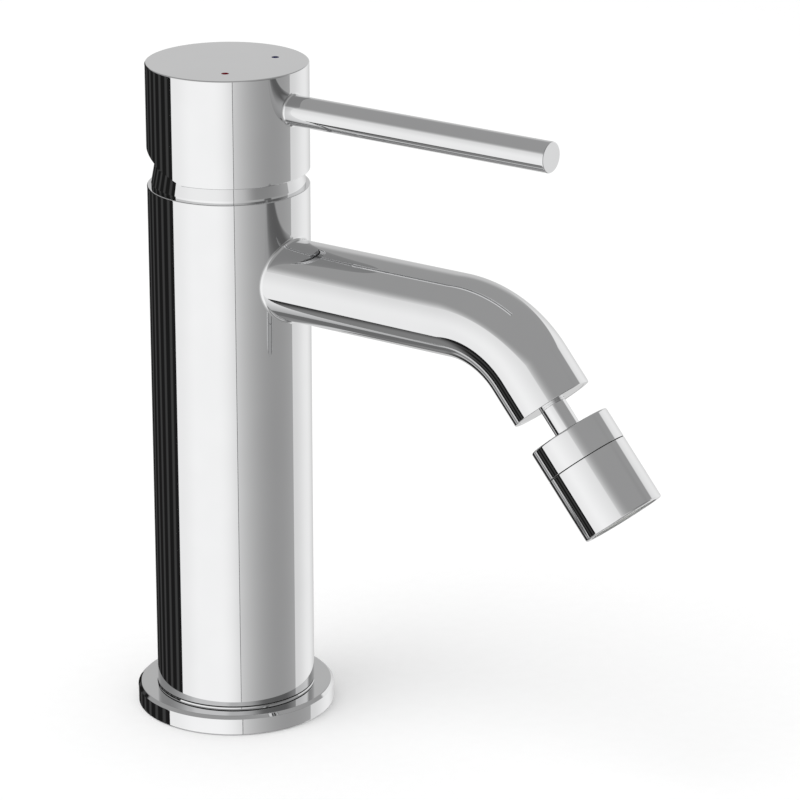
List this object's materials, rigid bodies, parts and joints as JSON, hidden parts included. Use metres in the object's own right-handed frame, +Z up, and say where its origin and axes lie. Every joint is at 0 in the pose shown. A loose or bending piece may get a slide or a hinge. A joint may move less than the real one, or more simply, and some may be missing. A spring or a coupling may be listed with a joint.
{
  "type": "bidet mixer",
  "caption": "Single-lever bidet mixer: round column on a flange, bent spout with a ball-jointed aerator, and a round head whose pin lever mixes and opens a ceramic cartridge.",
  "frame": {"origin": "centre of the hollow foot in the plane of the deck", "axes": "+Z up along the column, +X the way the spout and the lever point, -Z out of the foot"},
  "size_m": [0.1594, 0.0538, 0.1796],
  "materials": {
    "chrome": "polished",
    "brass": "turned",
    "rubber": "matt",
    "pale_plastic": "moulded",
    "grey_plastic": "moulded",
    "ceramic": "lapped",
    "steel": "ground",
    "red_inlay": "gloss",
    "blue_inlay": "gloss"
  },
  "bodies": {
    "base": {"body_column": "chrome", "base_flange": "chrome", "flange_gasket": "rubber", "flange_o_ring": "rubber", "spout_tube": "chrome", "outlet_bush": "chrome", "outlet_o_ring": "rubber", "ball_stem": "chrome", "cartridge_nut": "brass", "cover_ring": "chrome", "cartridge_housing": "pale_plastic", "cartridge_base": "grey_plastic", "housing_seal": "rubber", "inlet_seals": "rubber", "disc_seals": "rubber", "fixed_disc": "ceramic"},
    "rotor": {"cartridge_rotor": "pale_plastic", "spindle_pin": "steel"},
    "handle": {"spindle": "brass", "lever_head": "chrome", "lever_pin": "chrome", "grub_screw": "steel", "hot_dot": "red_inlay", "cold_dot": "blue_inlay"},
    "disc": {"moving_disc": "ceramic", "disc_driver": "grey_plastic"},
    "seat_upper": {"ball_seat_upper": "grey_plastic"},
    "seat_lower": {"ball_seat_lower": "grey_plastic"},
    "aerator": {"aerator_cap": "chrome", "aerator_shell": "chrome", "aerator_gasket": "rubber", "aerator_insert": "pale_plastic", "aerator_mesh": "grey_plastic"}
  },
  "joints": [
    {"name": "handle_turn", "type": "hinge", "parent": "base", "child": "rotor", "pos_m": [0, 0, 0.146], "axis": [0, 0, 1], "range_deg": [-45, 45]},
    {"name": "handle_lift", "type": "hinge", "parent": "rotor", "child": "handle", "pos_m": [0, 0, 0.146], "axis": [0, -1, 0], "range_deg": [0, 20]},
    {"name": "disc_slide", "type": "slide", "parent": "rotor", "child": "disc", "axis": [1, 0, 0], "range_m": [0, 0.0042]},
    {"name": "aerator_tilt", "type": "hinge", "parent": "base", "child": "seat_upper", "pos_m": [0.11119, 0, 0.0948], "axis": [0, 1, 0], "range_deg": [-15, 15]},
    {"name": "aerator_swing", "type": "hinge", "parent": "seat_upper", "child": "seat_lower", "pos_m": [0.11119, 0, 0.0948], "axis": [0.766, 0, 0.6428], "range_deg": [-15, 15]},
    {"name": "aerator_spin", "type": "hinge", "parent": "seat_lower", "child": "aerator", "pos_m": [0.11119, 0, 0.0948], "axis": [0.6428, 0, -0.766], "continuous": true}
  ],
  "couplings": [
    {"joint": "disc_slide", "follows": "handle_lift", "m_per_rad": 0.0118}
  ]
}
